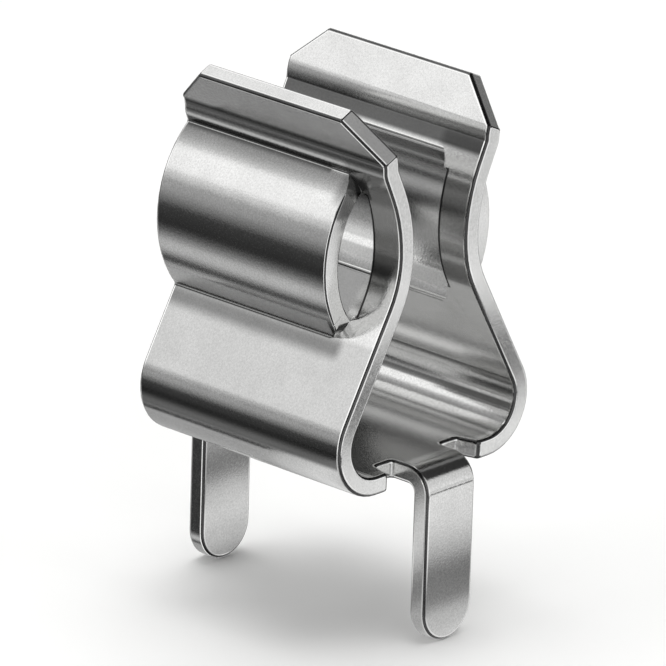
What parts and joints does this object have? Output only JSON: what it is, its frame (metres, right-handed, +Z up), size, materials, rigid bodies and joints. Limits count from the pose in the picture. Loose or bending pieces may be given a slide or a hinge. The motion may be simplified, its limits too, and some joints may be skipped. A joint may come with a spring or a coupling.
{
  "type": "pcb fuse clip",
  "caption": "Folded sheet-metal spring clip whose bowed arms grip the end cap of a cartridge fuse, with end-stop bands, flared lips and solder legs for a circuit board.",
  "frame": {"origin": "on the underside of the base, where it meets the board, midway between the arms and midway between the solder legs", "axes": "+X across the arms, +Y along the fuse and out of the open end (the end-stop bands are at -Y), +Z up away from the board"},
  "size_m": [0.007, 0.0082, 0.0139],
  "materials": {
    "plated_spring_brass": "bright nickel plate over cold-rolled spring brass sheet"
  },
  "bodies": {
    "root": {"fuse_clip": "plated_spring_brass"}
  },
  "joints": []
}
